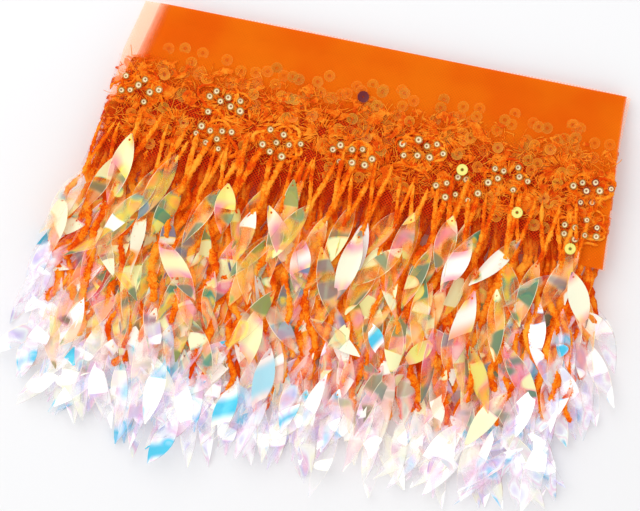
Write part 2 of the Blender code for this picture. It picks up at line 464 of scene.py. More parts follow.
# Film colours of the leaf sequins, warm near the band and cool towards the tips
leafFinish = {
    "warm": (
        (0.00, (1.00, 0.38, 0.08)),
        (0.12, (1.00, 0.52, 0.22)),
        (0.22, (0.95, 0.70, 0.06)),
        (0.30, (1.00, 0.42, 0.12)),
        (0.39, (0.98, 0.38, 0.32)),
        (0.47, (0.84, 0.22, 0.38)),
        (0.55, (0.90, 0.36, 0.48)),
        (0.61, (1.00, 0.55, 0.40)),
        (0.68, (0.98, 0.86, 0.40)),
        (0.76, (1.00, 0.38, 0.06)),
        (0.84, (0.10, 0.36, 0.24)),
        (0.90, (0.80, 0.66, 0.05)),
        (1.00, (1.00, 0.38, 0.08)),
    ),
    "cool": (
        (0.00, (0.93, 0.94, 0.97)),
        (0.12, (0.66, 0.54, 0.88)),
        (0.24, (0.92, 0.52, 0.74)),
        (0.36, (0.97, 0.94, 0.96)),
        (0.48, (0.97, 0.93, 0.72)),
        (0.58, (0.92, 0.76, 0.90)),
        (0.68, (0.50, 0.72, 0.94)),
        (0.74, (0.05, 0.54, 0.82)),
        (0.79, (0.42, 0.58, 0.92)),
        (0.87, (0.92, 0.92, 0.96)),
        (0.94, (0.92, 0.60, 0.80)),
        (1.00, (0.93, 0.94, 0.97)),
    ),
    "shadow": (
        (0.00, (0.16, 0.10, 0.05)), (0.35, (0.02, 0.16, 0.11)), (0.60, (0.18, 0.15, 0.01)),
        (0.80, (0.16, 0.08, 0.17)), (1.00, (0.04, 0.14, 0.30)),
    ),
    "shine": (
        (0.00, (0.93, 0.88, 0.46)), (0.30, (0.95, 0.90, 0.52)), (0.42, (0.86, 0.72, 0.10)),
        (0.55, (0.94, 0.88, 0.50)), (0.75, (0.95, 0.93, 0.76)), (1.00, (0.96, 0.96, 0.94)),
    ),
    "coolShine": ((0.96, 0.95, 0.93), (0.03, 0.46, 0.70)),
    # painted rim light, and painted shade on one rim of some leaves
    "rimLightAndShade": ((1.0, 0.84, 0.60), (0.22, 0.08, 0.03)),
    "clearAlpha": (0.10, 0.04),
    "bendAlpha": 0.44,
    "glareAlpha": 0.94,
    "shadeAlpha": 0.74,
    "rimAlpha": 0.26,
    # painted glow: the film gives off light in its own colour, for light passing through it
    "paintedGlow": 0.22,
}


def makeLeafMaterial(name, placedGlare=False):  # seeds: hue, glare, place down the fringe, tone
    material, tree, shader = newMaterial(
        name, Roughness=0.16, IOR=1.45, Thin_Film_Thickness=420.0, Thin_Film_IOR=1.6,
        Emission_Strength=leafFinish["paintedGlow"],
    )
    hueSeed, glareSeed, place, tone = readSeeds(tree)
    across, along = splitUv(tree)
    aside = addMath(tree, "SUBTRACT", across, 0.5)

    def slowNoise(*scaled):
        where = [addMath(tree, "MULTIPLY", source, scale) for source, scale in scaled]
        vector = addNode(tree, "ShaderNodeCombineXYZ", enumerate(where)).outputs["Vector"]
        return addNoise(tree, vector, 1.0, 0.0)

    if placedGlare:  # the seeds give where the glare starts and ends along the leaf
        skew = addMath(tree, "MULTIPLY", addMath(tree, "SUBTRACT", tone, 0.5), 0.5)
        slanted = addMath(tree, "MULTIPLY_ADD", aside, skew, along)
        fromStart = addMath(tree, "SUBTRACT", slanted, hueSeed)
        inside = addMath(tree, "MINIMUM", fromStart, addMath(tree, "SUBTRACT", glareSeed, slanted))
        glare = addMath(tree, "GREATER_THAN", inside, 0.0)
        core = addRange(tree, inside, 0.0, 0.22)
    else:
        glareNoise = slowNoise((across, 0.30), (along, 2.2), (glareSeed, 61.0))
        glare = addRange(tree, glareNoise, 0.614, 0.622)
        core = addRange(tree, glareNoise, 0.614, 0.655)
    shade = addRange(tree, slowNoise((across, 0.4), (along, 3.0), (tone, 83.0)), 0.57, 0.68)
    shade = addMath(tree, "SUBTRACT", shade, glare, clamp=True)
    bend = slowNoise((across, 1.1), (along, 3.0), (hueSeed, 47.0))
    hue = addMath(tree, "FRACT", addMath(tree, "MULTIPLY_ADD", bend, 0.7, hueSeed))
    coolShare = addRange(tree, addMath(tree, "MULTIPLY_ADD", tone, 0.2, place), 0.50, 0.72)
    warm, cool = (addRamp(tree, hue, leafFinish[side]) for side in ("warm", "cool"))
    film = addMixColour(tree, coolShare, warm, cool)
    dark = addMath(tree, "MULTIPLY", shade, addRange(tree, coolShare, 0, 1, 0.9, 0.25))
    film = addMixColour(tree, dark, film, addRamp(tree, tone, leafFinish["shadow"]))
    # painted rim light along the edges, with painted shade on the rim of one side where the tone is
    # over 0.4
    off = addMath(tree, "ABSOLUTE", aside)
    shadedSide = addMath(tree, "MULTIPLY", addMath(tree, "GREATER_THAN", across, 0.5),
                       addMath(tree, "GREATER_THAN", tone, 0.4))
    paintedRimColour = addMixColour(tree, shadedSide, *leafFinish["rimLightAndShade"])
    film = addMixColour(tree, addRange(tree, off, 0.45, 0.49, 0, 0.7), film, paintedRimColour)
    blueGlare = addMath(tree, "GREATER_THAN", tone, 0.90)
    coolShine = addMixColour(tree, blueGlare, *leafFinish["coolShine"])
    shine = addMixColour(tree, coolShare, addRamp(tree, tone, leafFinish["shine"]), coolShine)
    colour = addMixColour(tree, glare, film, addMixColour(tree, core, film, shine))
    dim = addMath(tree, "MULTIPLY", glare, addMath(tree, "SUBTRACT", 1.0, coolShare))

    clear = addRange(tree, coolShare, 0, 1, *leafFinish["clearAlpha"])
    bent = addRange(tree, bend, 0.35, 0.68, 0.0, leafFinish["bendAlpha"])
    rim = addRange(tree, off, 0.455, 0.495)
    alpha = addMath(tree, "ADD", clear, bent)
    alpha = addMath(tree, "MULTIPLY_ADD", rim, leafFinish["rimAlpha"], alpha)
    alpha = addMath(tree, "MULTIPLY_ADD", shade, leafFinish["shadeAlpha"], alpha)
    # painted glow: emission in the film's colour, switched off in the warm glare patches
    plug(tree, shader, Base_Color=colour,
         Emission_Color=addMixColour(tree, dim, colour, (0.0, 0.0, 0.0)),
         Alpha=addMixValue(tree, glare, alpha, leafFinish["glareAlpha"]))
    return material


# The ramps run from the hole to the rim, and "ambers" from one sequin to another
sequinFinish = {
    # painted shade round the hole, then a painted cream highlight ring, then the amber rim
    "cup": (
        (0.00, (0.07, 0.06, 0.05)), (0.22, (0.20, 0.17, 0.12)), (0.32, (0.80, 0.58, 0.30)),
        (0.44, (0.90, 0.74, 0.48)), (0.60, (0.84, 0.62, 0.32)), (0.70, (0.50, 0.22, 0.02)),
        (0.84, (0.24, 0.17, 0.01)), (1.00, (0.40, 0.20, 0.01)),
    ),
    "redRim": (0.16, 0.003, 0.005),
    "ambers": (
        (0.0, (0.95, 0.22, 0.005)), (0.45, (0.95, 0.32, 0.01)), (0.8, (0.82, 0.36, 0.02)),
        (1.0, (0.44, 0.24, 0.02)),
    ),
    "amberRim": (0.96, 0.34, 0.03),
    "amberHole": (0.60, 0.09, 0.003),
    "amberAlpha": 0.45,
    "yellow": (
        (0.00, (0.06, 0.10, 0.02)), (0.22, (0.12, 0.18, 0.03)), (0.32, (0.80, 0.72, 0.14)),
        (0.50, (0.90, 0.82, 0.24)), (0.90, (0.86, 0.78, 0.18)), (1.00, (0.45, 0.48, 0.06)),
    ),
    "dark": (0.13, 0.012, 0.02),
    "solidAlpha": 0.97,
}


def makeCupMaterial():  # small cupped sequins: a painted cream highlight ring, painted dark shade round the hole and an amber rim
    material, tree, shader = newMaterial("cupped sequin film", Roughness=0.16, IOR=1.52)
    radial = splitUv(tree)[1]
    ring = addRamp(tree, radial, sequinFinish["cup"])
    rimmed = addMixColour(tree, addRange(tree, radial, 0.68, 0.76), ring, sequinFinish["redRim"])
    plug(tree, shader, Base_Color=addMixColour(tree, readSeeds(tree)[0], ring, rimmed),
         Alpha=addRange(tree, radial, 0.72, 1.0, 1.0, 0.35))
    return material


def makeAmberMaterial():  # flat see-through sequins, and the yellow and dark ones
    material, tree, shader = newMaterial("amber sequin film", Roughness=0.30, IOR=1.30)
    radial = splitUv(tree)[1]
    yellowSeed, amberSeed, darkSeed, strength = readSeeds(tree)
    rim = addRange(tree, addMath(tree, "ABSOLUTE", addMath(tree, "SUBTRACT", radial, 0.55)), 0.28, 0.42)
    amber = addRamp(tree, amberSeed, sequinFinish["ambers"])
    amber = addMixColour(tree, addMath(tree, "MULTIPLY", rim, 0.7), amber, sequinFinish["amberRim"])
    amber = addMixColour(tree, addRange(tree, radial, 0.38, 0.26), amber, sequinFinish["amberHole"])
    colour = addMixColour(tree, darkSeed, amber, sequinFinish["dark"])
    colour = addMixColour(tree, yellowSeed, colour, addRamp(tree, radial, sequinFinish["yellow"]))
    clear = addMath(tree, "MULTIPLY_ADD", rim, 0.25, sequinFinish["amberAlpha"])
    solid = addMath(tree, "MULTIPLY", addMath(tree, "MAXIMUM", yellowSeed, darkSeed),
                    sequinFinish["solidAlpha"])
    alpha = addMath(tree, "MULTIPLY", addMath(tree, "MAXIMUM", clear, solid), strength)
    plug(tree, shader, Base_Color=colour, Alpha=alpha)
    return material


netMaterial = makeNetMaterial()
yarnMaterial = makeYarnMaterial("fluffy tassel yarn", 1050.0)
stitchMaterial = makeYarnMaterial("worked band stitches", 1900.0)
leafMaterial = makeLeafMaterial("iridescent leaf film")
litLeafMaterial = makeLeafMaterial("lit leaf film", placedGlare=True)
cupMaterial = makeCupMaterial()
amberMaterial = makeAmberMaterial()
print("materials made")

# The folded strip: net ground and the worked band on its face

netSizes = {
    "columnsPerRun": 44,
    "turnSteps": 10,
    "rows": 34,
    "wrinkle": 0.00022,
    "overTop": (0.030, 0.046),
    "overRight": (0.100, 0.112),
    "lowEdge": (0.074, 0.083),
    "lowFade": 0.72,
    "edgeWander": 0.0006,
    "topPeek": 0.0009,
    "peekRun": (0.004, 0.236),
    "flat": (0.0875, 1.50),
}
bandSizes = {
    "columnsPerRun": 60,
    "turnSteps": 8,
    "rows": 16,
    "lump": 0.00025,
    "scallop": 0.0022,
    "repeat": 0.034,
    "flat": (0.0405, 1.50),
    "ground": (
        (0.0, (0.74, 0.060, 0.001)), (0.5, (0.91, 0.155, 0.002)), (1.0, (0.95, 0.30, 0.02)),
    ),
}


def stations(columnsPerRun, turnSteps):  # layer and share of its run, or fold and angle
    found = []
    for layer in range(trim["layers"]):
        for column in range(columnsPerRun + 1):
            found.append((0, layer, column / columnsPerRun))
        if layer < trim["layers"] - 1:
            for step in range(1, turnSteps):
                found.append((1, layer + 1, math.pi * (step / turnSteps - 0.5)))
    return found


def foldedSheet(along, depths, middle, outsideAtLeft):
    columns = []
    for (isTurn, index, share), depth in zip(along, depths):
        if not isTurn:
            x = mix(endX(index, depth), endX(index + 1, depth), share)
            columns.append(placed(x, depth, middle(index, depth)))
            continue
        atLeft = index % 2 == 1
        bulge = trim["innerTurn"] + (trim["pitch"] if atLeft == outsideAtLeft else 0)
        x = endX(index, depth) - (bulge if atLeft else -bulge) * math.cos(share)
        height = mix(middle(index - 1, depth), middle(index, depth), (math.sin(share) + 1) / 2)
        columns.append(placed(x, depth, height))
    return np.stack(columns)


def stripLength(along, turnLength=0.0):  # how far along the strip each station lies
    walked = []
    for isTurn, index, share in along:
        onward = turnLength * (share / math.pi - 0.5) if isTurn else trim["headingLength"] * share
        walked.append((trim["headingLength"] + turnLength) * index + onward)
    return np.array(walked)


def addSheet(name, along, points, depths, material, seeds=None):
    thread = stripLength(along, trim["turnLength"])[:, None]  # the net's mesh counts the turns in
    uv = np.stack(np.broadcast_arrays(thread, depths), axis=-1)
    return addPiece(name, points, gridFaces(*depths.shape), material, uv, seeds)


def makeNetSheet():
    along = stations(netSizes["columnsPerRun"], netSizes["turnSteps"])
    far = stripLength(along)
    share = np.linspace(0, 1, netSizes["rows"] + 1)
    wander = netSizes["edgeWander"] * ripple(far, 0 * far, 3, 0.05)
    peekStart, peekEnd = netSizes["peekRun"]
    peek = np.where((far > peekStart) & (far < peekEnd), netSizes["topPeek"], 0.0)
    peek = peek * (1 + 0.5 * np.sin(far / 0.021))
    depths = share[None, :] * (trim["netDepth"] + wander + peek)[:, None] - peek[:, None]
    points = foldedSheet(along, depths, netMiddle, outsideAtLeft=False)
    wrinkle = netSizes["wrinkle"] * ripple(far[:, None], depths, 5, 0.06)
    points[..., 2] += wrinkle * np.clip(points[..., 2] / 0.004, 0, 1)
    walked = (far / trim["headingLength"])[:, None]  # in runs of the strip
    single = np.where(walked < 1, 1.0, 1 - rising(walked, 1.06, 1.12)) + 0 * depths
    # where the net over the fringe is painted in shade
    over = rising(depths, *netSizes["overTop"]) * (1 - rising(points[..., 0], *netSizes["overRight"]))
    solid = 1 - netSizes["lowFade"] * over * rising(depths, *netSizes["lowEdge"])
    foldLine = placed(endX(topLayer, depths), depths, 0 * depths)[..., 0]
    inward = points[..., 0] - foldLine + 0.0012 * ripple(depths, 0 * depths, 8, 0.02)
    loose = eased(inward / netFinish["foldWidth"])
    solid = solid * np.where(walked > 1.5, mix(netFinish["foldAlpha"], 1.0, loose), 1.0)
    seeds = np.stack([single, over, solid, np.ones_like(over)], axis=-1)
    net = addSheet("netGround", along, points, depths, netMaterial, seeds)
    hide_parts("net")
    return net


def makeBandMaterial():  # the lace-like ground of the worked band, open between its stitches
    material, tree, shader = newMaterial("worked band ground", Roughness=0.85, Specular_IOR_Level=0.1)
    uv = readUv(tree)
    grain = addNode(tree, "ShaderNodeGroup", [("Vector", uv), ("Scale", 1500.0)], node_tree=fibreGroup)
    blot = addNoise(tree, uv, 150.0, 4.0, Roughness=0.6, Distortion=1.0)
    plug(tree, shader, Base_Color=addRamp(tree, grain.outputs["Tone"], bandSizes["ground"]),
         Alpha=addRange(tree, blot, 0.50, 0.56, 0.02, 0.95),
         Normal=addBump(tree, grain.outputs["Height"], 0.0005, 0.8))
    return material


def makeBandSheet():
    along = stations(bandSizes["columnsPerRun"], bandSizes["turnSteps"])
    far = stripLength(along)
    scallop = np.sin(math.tau * far / bandSizes["repeat"]) + 0.6 * np.sin(far / 0.011)
    top = trim["bandTop"] + bandSizes["scallop"] * scallop
    share = np.linspace(0, 1, bandSizes["rows"] + 1)
    depths = mix(top[:, None], trim["bandBottom"], share[None, :])
    points = foldedSheet(along, depths, bandMiddle, outsideAtLeft=True)
    points[..., 2] += bandSizes["lump"] * ripple(far[:, None], depths, 11, 0.012)
    points[..., 2] = np.maximum(points[..., 2], 0.0003)
    band = addSheet("bandGround", along, points, depths, makeBandMaterial())
    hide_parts("worked_band")
    return band


net = makeNetSheet()
band = makeBandSheet()
print("net and band folded")

# Sequins on the band. Places are measured along the strip and down from the heading edge.

sequinSizes = {
    "sides": 16,
    "cupRadius": 0.00215,
    "cupDepth": 0.0006,
    "cupProfile": ((0.15, 0.0), (0.35, 0.15), (0.62, 0.55), (0.80, 0.95), (1.0, 1.0)),
    "flatRadius": 0.0029,
    "flatDepth": 0.00015,
    "flatProfile": ((0.15, 0.0), (0.35, 0.3), (0.85, 0.5), (1.0, 1.0)),
    "clusters": (
        (-0.001, 0.045), (0.0405, 0.0435), (0.0405, 0.062), (0.0725, 0.057), (0.111, 0.0565),
        (0.1425, 0.0475), (0.163, 0.063), (0.1865, 0.052), (0.2285, 0.050), (0.2295, 0.069),
    ),
    "perCluster": 8,
    "clusterRadius": 0.0095,
    "apart": 0.0043,
    "cupLifts": (0.058, 0.0024, 0.0038),  # a line across the band, the lift above and below it
    "flatLifts": (0.030, 0.0019, 0.0042),
    "redRimsFrom": 0.222,
    "yellow": ((0.1645, 0.0525), (0.1955, 0.068), (0.225, 0.0805)),
    "dark": ((0.109, 0.0265),),
    # The amber ones, on the band and higher up: how many, from, to, lift, strength, tilt
    "amber": ((90, 0.033, 0.074, 0.0013, 1.0, 0.5), (130, 0.019, 0.046, 0.0006, 0.62, 0.10)),
    "amberApart": 0.0045,
    "amberMargin": 0.004,
}


def disc(radius, rimHeight, profile):  # rings from the hole to the rim
    sides = sequinSizes["sides"]
    angle = np.arange(sides) * math.tau / sides
    rings = []
    for share, rise in profile:
        x, y = radius * share * np.cos(angle), radius * share * np.sin(angle)
        rings.append(np.stack([x, y, np.full(sides, rimHeight * rise)], axis=-1))
    around = np.tile(np.arange(sides) / sides, len(profile))
    radial = np.repeat([share for share, rise in profile], sides)
    uv = np.stack([around, radial], axis=-1)
    return np.concatenate(rings), gridFaces(len(profile), sides, closed=True), uv


def tilted(points, chance, most):
    axis = chance.normal(size=3) * (1, 1, 0)
    axis /= np.linalg.norm(axis)
    turn = chance.uniform(0, most)
    cross = np.cross(axis, points)
    return points * math.cos(turn) + cross * math.sin(turn)


def topOfNet(x, depth):
    return placed(x, depth, netMiddle(topLayer, depth))


def liftAt(depth, lifts):
    line, upper, lower = lifts
    return upper if depth < line else lower


def scattered(centres, count, radius, apart, chance):
    found = []
    for cx, cd in centres:
        own = []
        for _ in range(400):
            if len(own) == count:
                break
            turn, far = chance.uniform(0, math.tau), radius * math.sqrt(chance.uniform(0, 1))
            spot = (cx + 1.25 * far * math.cos(turn), cd + 0.75 * far * math.sin(turn))
            if all(math.dist(spot, old) > apart for old in found + own):
                own.append(spot)
        found += own
    return found


def makeSequins():
    chance = np.random.default_rng(21)
    sizes = sequinSizes
    cup = disc(sizes["cupRadius"], sizes["cupDepth"], sizes["cupProfile"])
    flat = disc(sizes["flatRadius"], sizes["flatDepth"], sizes["flatProfile"])
    spots = scattered(sizes["clusters"], sizes["perCluster"], sizes["clusterRadius"],
                      sizes["apart"], chance)
    cups, flats = Pile(), Pile()
    for x, depth in spots:
        redRim = 1.0 if x > sizes["redRimsFrom"] and chance.uniform() < 0.6 else 0.0
        body = tilted(cup[0] * chance.uniform(0.84, 1.04), chance, 0.55) + topOfNet(x, depth)
        body[:, 2] += liftAt(depth, sizes["cupLifts"])
        cups.add(body, *cup[1:], (redRim, chance.uniform(), 0, 1))
    for places, seeds in ((sizes["yellow"], (1, 0.5, 0, 1)), (sizes["dark"], (0, 0.5, 1, 1))):
        for x, depth in places:
            body = tilted(flat[0], chance, 0.10) + topOfNet(x, depth)
            body[:, 2] += liftAt(depth, sizes["flatLifts"])
            flats.add(body, *flat[1:], seeds)
    for count, low, high, lift, strength, tilt in sizes["amber"]:
        for _ in range(count):
            depth = chance.uniform(low, high)
            left = endX(topLayer, depth) + sizes["amberMargin"]
            right = endX(topLayer + 1, depth) - sizes["amberMargin"]
            x = mix(left, right, chance.uniform())
            if min(math.dist((x, depth), spot) for spot in spots) < sizes["amberApart"]:
                continue
            body = tilted(flat[0], chance, tilt) + topOfNet(x, depth) + (0, 0, lift)
            flats.add(body, *flat[1:], (0, chance.uniform(), 0, strength))
    made = [cups.piece("cuppedSequins", cupMaterial), flats.piece("flatSequins", amberMaterial)]
    return made


sequins = makeSequins()

# Raised stitches of the worked band on the top layer: loose star flowers of yarn

stitchSizes = {
    "petals": 7,
    "stitchesPerPetal": 16,
    "petalLength": 0.0135,
    "petalWidth": 0.0075,
    "thread": 0.00024,
    "hairs": 1300,
    "rise": 0.0009,
    "cord": 0.00085,
    "cordReach": 0.0095,
    "depths": (0.024, 0.079),
    "rightEnd": 0.240,
    "moreFlowers": (
        (0.020, 0.058), (0.058, 0.052), (0.092, 0.048), (0.127, 0.060), (0.208, 0.060),
        (0.002, 0.064), (0.152, 0.036), (0.072, 0.040), (0.178, 0.066), (0.212, 0.042),
    ),
}


def stitchPath(start, end, rise, chance):  # plan points to a low arch over the net
    share = np.linspace(0, 1, 6)[:, None]
    line = mix(np.array(start), np.array(end), share)
    across = np.array([end[1] - start[1], start[0] - end[0]])
    line = line + across * chance.uniform(-0.12, 0.12) * np.sin(math.pi * share)
    points = topOfNet(line[:, 0], line[:, 1])
    points[:, 2] += 0.0004 + rise * np.sin(math.pi * share[:, 0])
    return points


def makeBandStitches():
    chance = np.random.default_rng(33)
    pile = Pile()
    sizes = stitchSizes
    low, high = sizes["depths"]
    for centre in sequinSizes["clusters"] + sizes["moreFlowers"]:
        spin = chance.uniform(0, math.tau)
        size = chance.uniform(0.75, 1.1)
        for petal in range(sizes["petals"]):
            turn = spin + math.tau * (petal + chance.uniform(-0.2, 0.2)) / sizes["petals"]
            out = np.array([math.cos(turn), 0.8 * math.sin(turn)])
            aside = np.array([-math.sin(turn), 0.8 * math.cos(turn)])
            for _ in range(sizes["stitchesPerPetal"]):
                near = chance.uniform(0.10, 0.45) * size * sizes["petalLength"]
                far = chance.uniform(0.65, 1.0) * size * sizes["petalLength"]
                spread = chance.uniform(-0.5, 0.5) * sizes["petalWidth"]
                start = centre + out * near + aside * spread * 0.6
                end = centre + out * far + aside * spread
                if not low <= end[1] <= high or end[0] > sizes["rightEnd"]:
                    continue
                path = stitchPath(start, end, stitchSizes["rise"] * chance.uniform(0.5, 1.4), chance)
                radius = np.full(len(path), stitchSizes["thread"] * chance.uniform(0.8, 1.4))
                radius[[0, -1]] *= 0.4
                pile.add(*tube(path, radius, 4, 0.25, chance), (chance.uniform(), 0, 0, 1))
    for _ in range(stitchSizes["hairs"]):
        x, depth = chance.uniform(-0.012, 0.238), chance.uniform(0.030, 0.072)
        turn, length = chance.uniform(0, math.tau), chance.uniform(0.003, 0.008)
        start, end = (x, depth), (x + length * math.cos(turn), depth + length * math.sin(turn))
        path = stitchPath(start, end, stitchSizes["rise"] * chance.uniform(1.0, 1.8), chance)
        radius = np.full(len(path), chance.uniform(0.00009, 0.00019))
        # the lighter tone of these hairs is a painted highlight
        pile.add(*tube(path, radius, 4, 0.1, chance), (chance.uniform(0.6, 1), 0, 0, 1))
    return pile.piece("bandStitches", stitchMaterial)


def makeBandCords():  # the fluffy yarn that scrolls round the flowers
    chance = np.random.default_rng(35)
    pile = Pile()
    for cx, cd in sequinSizes["clusters"]:
        for _ in range(3):
            turn = np.linspace(0, math.tau * chance.uniform(0.5, 0.9), 60) + chance.uniform(0, math.tau)
            lobes = 1 + 0.28 * np.sin(3 * turn + chance.uniform(0, 6))
            reach = stitchSizes["cordReach"] * lobes * chance.uniform(0.8, 1.25)
            x, depth = cx + reach * np.cos(turn), cd + 0.72 * reach * np.sin(turn)
            path = topOfNet(np.minimum(x, 0.2405), np.clip(depth, 0.027, 0.076))
            path[:, 2] += 0.0011 + 0.0004 * np.sin(turn * 2.3)
            radius = np.full(len(path), stitchSizes["cord"] * chance.uniform(0.7, 1.15))
            radius[[0, -1]] *= 0.3
            pile.add(*tube(path, radius, 6, 0.42, chance), (chance.uniform(), 0, 0, 1))
    return pile.piece("bandCords", yarnMaterial)


stitches = [makeBandStitches(), makeBandCords()]

# The tassels: strands of fluffy yarn, with leaf sequins sewn along them

tasselSizes = {
    "strands": (32, 34, 40, 42, 46, 27),
    "legSpread": 0.0042,
    "legTop": 0.0665,
    "legUneven": 0.014,
    "legJoin": 0.0900,
    "radius": 0.00165,
    "flatten": 0.55,
    "fuzz": 0.38,
    "fibres": 7,
    "fibreReach": (0.0008, 0.0019),
    "fibreWidth": (0.00008, 0.00016),
    "step": 0.0011,
    "meander": 0.0022,
    "meanderFrom": (0.080, 0.100),
    "leafShare": (0.68, 0.68, 0.68, 0.68, 0.60, 0.95),
    "strandTip": 0.187,
    "strandUneven": (-0.024, 0.014),
    "leftTip": -0.027,
    "rightTip": -0.016,
    "rightTipFrom": 0.55,
    "rightmost": (1.01, 1.01, 1.01, 1.01, 1.01, 0.978),
    "leafLength": 0.037,
    "leafWidth": 0.0098,
    "leafGap": (0.0235, 0.0235, 0.0235, 0.0235, 0.022, 0.019),
    "leafTop": (0.100, 0.098, 0.100, 0.098, 0.094, 0.076),
    "leafYaw": 0.40,
    "leafRoll": 0.75,
    "leafPitch": 0.10,
    "leafHole": (0.11, 0.017),  # in shares of half the width and of the length
    "leafLift": (-0.0008, 0.0022),
    "leafEnd": 0.034,
    "moreAtLeft": (0.35, 0.3),
    "closerAtLeft": (0.4, 0.8),
    "coolFrom": 0.075,
    "coolOver": 0.155,
    "paleEnds": (0.05, 0.87),
    "pinkFrom": (0.5, 0.130),
    "warmAbove": 0.110,
}


def strandLine(layer, share, top, tip, step, chance, aside):
    depth = np.arange(top, tip, step)
    x = flowX(layer, share, depth)
    free = rising(depth, *tasselSizes["meanderFrom"])
    wave = chance.uniform(0.022, 0.045, 2)
    phase = chance.uniform(0, math.tau, 2)
    wander = np.sin(math.tau * depth / wave[0] + phase[0])
    wander = wander + 0.6 * np.sin(math.tau * depth / wave[1] + phase[1])
    x = x + tasselSizes["meander"] * wander * free
    x = x + aside * (1 - rising(depth, top, tasselSizes["legJoin"]))
    height = rowFloor(layer, depth) + 0.0011 + 0.0003 * np.sin(math.tau * depth / 0.03 + phase[1])
    if layer == topLayer:
        height = height + 0.0010
    return placed(x, depth, height), depth


def addFuzz(pile, line, radius, chance):  # short fibres that stand out of the yarn
    count = tasselSizes["fibres"] * len(line)
    spot = chance.integers(1, len(line) - 1, count)
    ahead = line[spot + 1] - line[spot - 1]
    ahead /= np.linalg.norm(ahead, axis=1)[:, None]
    side = np.cross(ahead, (0.0, 0.0, 1.0)) * chance.choice((-1.0, 1.0), count)[:, None]
    up = np.array((0.0, 0.0, 1.0)) * chance.uniform(-0.2, 0.9, count)[:, None]
    out = side * chance.uniform(0.5, 1.0, count)[:, None] + up
    root = line[spot] + 0.6 * out * radius[spot][:, None]
    reach = chance.uniform(*tasselSizes["fibreReach"], count)[:, None]
    slant = ahead * chance.uniform(-0.9, 0.9, count)[:, None]
    half = ahead * chance.uniform(*tasselSizes["fibreWidth"], count)[:, None]
    tip = root + (out + slant) * reach
    points = np.stack([root - half, root + half, tip + 0.3 * half, tip - 0.3 * half], axis=1)
    faces = np.arange(4 * count).reshape(count, 4)
    pile.add(points.reshape(-1, 3), faces, np.zeros((4 * count, 2)), (chance.uniform(), 0, 0, 1))


def makeStrands(layer, chance):
    pile = Pile()
    sizes = tasselSizes
    onTop = layer >= topLayer - 1
    step = sizes["step"] * (1 if onTop else 1.8)
    sides = 8 if onTop else 6
    lines = []
    count = sizes["strands"][layer]
    for index in range(count):
        place = (index + 0.5 + chance.uniform(-0.35, 0.35)) / count
        share = mix(-0.02, sizes["rightmost"][layer], place)
        tip = sizes["strandTip"] - 0.6 * shorter(share)
        tip += sizes["leftTip"] * (1 - share) ** 3
        tip += sizes["rightTip"] * (share > sizes["rightTipFrom"])
        tip += chance.uniform(*sizes["strandUneven"])
        spread = sizes["legSpread"] * chance.uniform(0.4, 1.25)
        top = sizes["legTop"] - chance.uniform(0, sizes["legUneven"])
        line, depth = strandLine(layer, share, top, tip, step, chance, spread)
        radius = sizes["radius"] * (1 + 0.16 * np.sin(depth / 0.0019 + index))
        radius *= chance.uniform(0.75, 1.3) * (1 - 0.4 * rising(depth, 0.15, 0.20))
        radius *= mix(0.72, 1.0, rising(depth, 0.085, 0.105))
        radius *= mix(0.3, 1.0, rising(depth, top, top + 0.007))
        if not onTop:
            radius[depth < sizes["legJoin"]] *= 0.7
        radius[[0, -1]] *= 0.35
        strand = tube(line, radius, sides, sizes["fuzz"], chance, sizes["flatten"])
        pile.add(*strand, (chance.uniform(), 0, 0, 1))
        lines.append((share, line, depth, fringe["tipDepth"] - shorter(share) - sizes["leafEnd"]))
        if onTop:
            addFuzz(pile, line, radius, chance)
            keep = depth < sizes["legJoin"] + 0.002
            other = line[keep].copy()
            other[:, 0] -= 2 * spread * (1 - rising(depth[keep], top, sizes["legJoin"]))
            other[:, 2] += 0.0003
            leg = tube(other, radius[keep] * 0.9, sides, sizes["fuzz"], chance)
            pile.add(*leg, (0.5, 0, 0, 1))
    piece = pile.piece(f"tasselYarn{layer + 1}", yarnMaterial)
    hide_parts(f"tassel_row_{layer + 1}")
    return piece, lines


def leafTemplate():  # a marquise outline on a grid, with the sewing hole near its top
    along = np.array([0, 0.045, 0.09, 0.14, 0.21, 0.30, 0.40, 0.50, 0.60, 0.70, 0.80, 0.89, 0.96, 1.0])
    columns = 5
    across = np.linspace(-1, 1, columns)
    width = np.sin(math.pi * np.clip(along, 0.012, 0.985) ** 0.92) ** 0.82
    t, u = np.meshgrid(along, across, indexing="ij")
    points = np.stack([u * width[:, None], t, np.zeros_like(t)], axis=-1).reshape(-1, 3)
    uv = np.stack([(u + 1) / 2, t], axis=-1).reshape(-1, 2)
    faces = gridFaces(len(along), columns)
    centre = 2 * columns + 2  # the grid point that the hole takes
    faces = faces[~(faces == centre).any(axis=1)]
    above, below = centre - columns, centre + columns
    ring = [above - 1, above, above + 1, centre + 1, below + 1, below, below - 1, centre - 1]
    holeWide, holeLong = tasselSizes["leafHole"]
    hole = []
    for vertex in ring:
        offset = points[vertex] - points[centre]
        turn = math.atan2(offset[1] * 3.3, offset[0])
        hole.append(points[centre] + (holeWide * math.cos(turn), holeLong * math.sin(turn), 0))
    inner = len(points) + np.arange(8)
    bridge = [[ring[i], ring[(i + 1) % 8], inner[(i + 1) % 8], inner[i]] for i in range(8)]
    holeUv = np.array([((p[0] / width[2] + 1) / 2, p[1]) for p in hole])
    return np.concatenate([points, hole]), np.concatenate([faces, bridge]), np.concatenate([uv, holeUv])


leafShape = leafTemplate()


def bentLeaf(length, width, cup, arch, twist):
    u, t = leafShape[0][:, 0], leafShape[0][:, 1]
    x = u * width / 2
    y = -t * length
    z = cup * (u * u) + arch * 4 * t * (1 - t)
    turn = twist * (t - 0.3)
    return np.stack([x * np.cos(turn), y, z + x * np.sin(turn)], axis=-1)


def turned(points, yaw, pitch, roll):
    for angle, a, b in ((roll, 2, 0), (pitch, 1, 2), (yaw, 0, 1)):
        c, s = math.cos(angle), math.sin(angle)
        points[:, [a, b]] = points[:, [a, b]] @ np.array([[c, s], [-s, c]])
    return points


